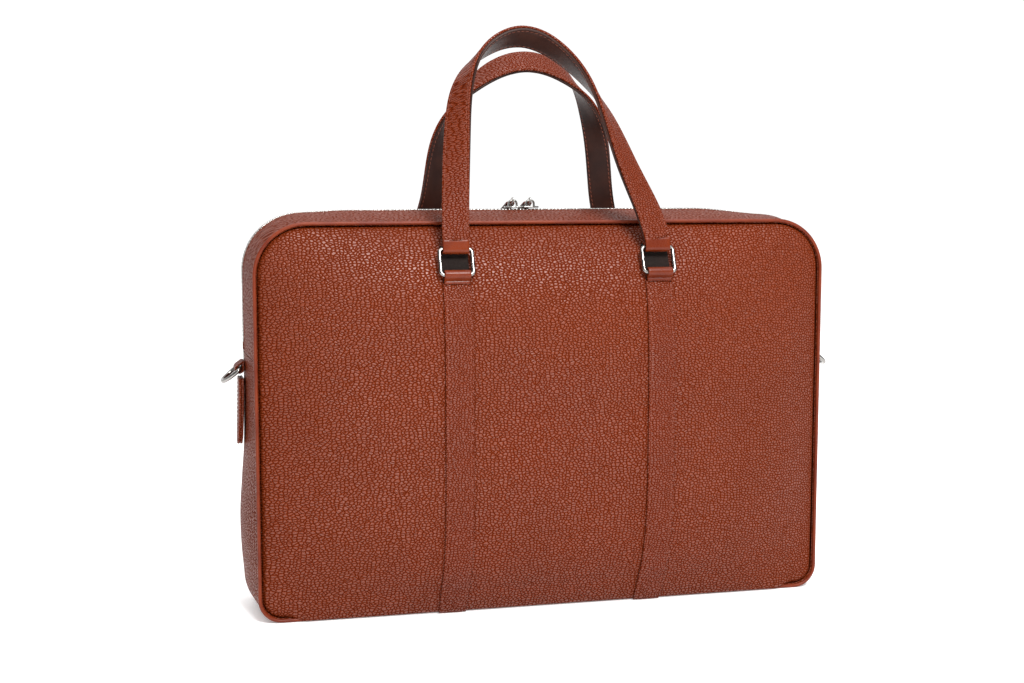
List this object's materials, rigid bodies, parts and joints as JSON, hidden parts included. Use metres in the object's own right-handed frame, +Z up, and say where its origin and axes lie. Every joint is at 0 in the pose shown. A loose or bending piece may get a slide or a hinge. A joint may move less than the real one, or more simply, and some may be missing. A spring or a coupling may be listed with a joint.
{
  "type": "leather briefcase",
  "caption": "Soft leather briefcase with a two-way zip over its top, twin strap handles on metal rings, piped edges, and a ring for a shoulder strap at each side",
  "frame": {"origin": "on the ground, under the middle of the case", "axes": "+X to the right seen from the front, +Y from the front panel to the back panel, +Z up"},
  "size_m": [0.4648, 0.1464, 0.4171],
  "materials": {
    "cognac_leather": "fine pebble grain, semi-matt, waxed",
    "handle_lining_leather": "smooth dark brown",
    "stiffener_board": "pressed fibre board",
    "lining_cloth": "plain woven cotton",
    "padding": "cloth over foam",
    "zip_tape_cloth": "herringbone tape",
    "zip_metal": "polished nickel",
    "ring_metal": "polished nickel"
  },
  "bodies": {
    "case": {"back_left_strap": "cognac_leather", "back_panel": "cognac_leather", "back_panel_lining": "lining_cloth", "back_panel_stiffener": "stiffener_board", "back_piping": "cognac_leather", "back_right_strap": "cognac_leather", "back_zip_strip": "cognac_leather", "back_zip_tape": "zip_tape_cloth", "back_zip_teeth": "zip_metal", "base_and_side_gusset": "cognac_leather", "base_board": "stiffener_board", "front_left_strap": "cognac_leather", "front_panel": "cognac_leather", "front_panel_lining": "lining_cloth", "front_panel_stiffener": "stiffener_board", "front_piping": "cognac_leather", "front_right_strap": "cognac_leather", "front_slip_pocket": "lining_cloth", "front_zip_strip": "cognac_leather", "front_zip_tape": "zip_tape_cloth", "front_zip_teeth": "zip_metal", "gusset_lining": "lining_cloth", "left_ring_loop": "cognac_leather", "padded_divider": "padding", "right_ring_loop": "cognac_leather", "zip_end_stops": "zip_metal"},
    "front_rings": {"front_left_ring": "ring_metal", "front_right_ring": "ring_metal"},
    "front_handle": {"front_handle_core": "stiffener_board", "front_handle_inner": "handle_lining_leather", "front_handle_outer": "cognac_leather"},
    "back_rings": {"back_left_ring": "ring_metal", "back_right_ring": "ring_metal"},
    "back_handle": {"back_handle_core": "stiffener_board", "back_handle_inner": "handle_lining_leather", "back_handle_outer": "cognac_leather"},
    "left_slider": {"left_slider": "zip_metal"},
    "left_pull": {"left_pull_link": "zip_metal", "left_pull_tab": "cognac_leather"},
    "left_d_ring": {"left_d_ring": "ring_metal"},
    "left_tab": {"left_zip_end_tab": "cognac_leather"},
    "right_slider": {"right_slider": "zip_metal"},
    "right_pull": {"right_pull_link": "zip_metal", "right_pull_tab": "cognac_leather"},
    "right_d_ring": {"right_d_ring": "ring_metal"},
    "right_tab": {"right_zip_end_tab": "cognac_leather"}
  },
  "joints": [
    {"name": "front_rings_swing", "type": "hinge", "parent": "case", "child": "front_rings", "pos_m": [0, -0.06484, 0.2457], "axis": [1, 0, 0], "range_deg": [0, 100]},
    {"name": "front_handle_swing", "type": "hinge", "parent": "front_rings", "child": "front_handle", "pos_m": [0, -0.05791, 0.26285], "axis": [1, 0, 0], "range_deg": [-10, 80]},
    {"name": "back_rings_swing", "type": "hinge", "parent": "case", "child": "back_rings", "pos_m": [0, 0.06484, 0.2457], "axis": [-1, 0, 0], "range_deg": [0, 100]},
    {"name": "back_handle_swing", "type": "hinge", "parent": "back_rings", "child": "back_handle", "pos_m": [0, 0.05791, 0.26285], "axis": [-1, 0, 0], "range_deg": [-10, 80]},
    {"name": "left_slider_run", "type": "slide", "parent": "case", "child": "left_slider", "axis": [-1, 0, 0], "range_m": [0, 0.1]},
    {"name": "left_pull_flip", "type": "hinge", "parent": "left_slider", "child": "left_pull", "pos_m": [-0.01855, 0, 0.2958], "axis": [1, 0, 0], "range_deg": [0, 220]},
    {"name": "left_d_ring_swing", "type": "hinge", "parent": "case", "child": "left_d_ring", "pos_m": [-0.2195, 0, 0.1775], "axis": [0, 1, 0], "range_deg": [0, 115]},
    {"name": "left_tab_lift", "type": "hinge", "parent": "case", "child": "left_tab", "pos_m": [-0.2165, 0, 0.171], "axis": [0, 1, 0], "range_deg": [0, 40]},
    {"name": "right_slider_run", "type": "slide", "parent": "case", "child": "right_slider", "axis": [1, 0, 0], "range_m": [0, 0.12]},
    {"name": "right_pull_flip", "type": "hinge", "parent": "right_slider", "child": "right_pull", "pos_m": [-0.00545, 0, 0.2958], "axis": [1, 0, 0], "range_deg": [0, 220]},
    {"name": "right_d_ring_swing", "type": "hinge", "parent": "case", "child": "right_d_ring", "pos_m": [0.2195, 0, 0.1775], "axis": [0, -1, 0], "range_deg": [0, 115]},
    {"name": "right_tab_lift", "type": "hinge", "parent": "case", "child": "right_tab", "pos_m": [0.2165, 0, 0.171], "axis": [0, -1, 0], "range_deg": [0, 40]}
  ]
}
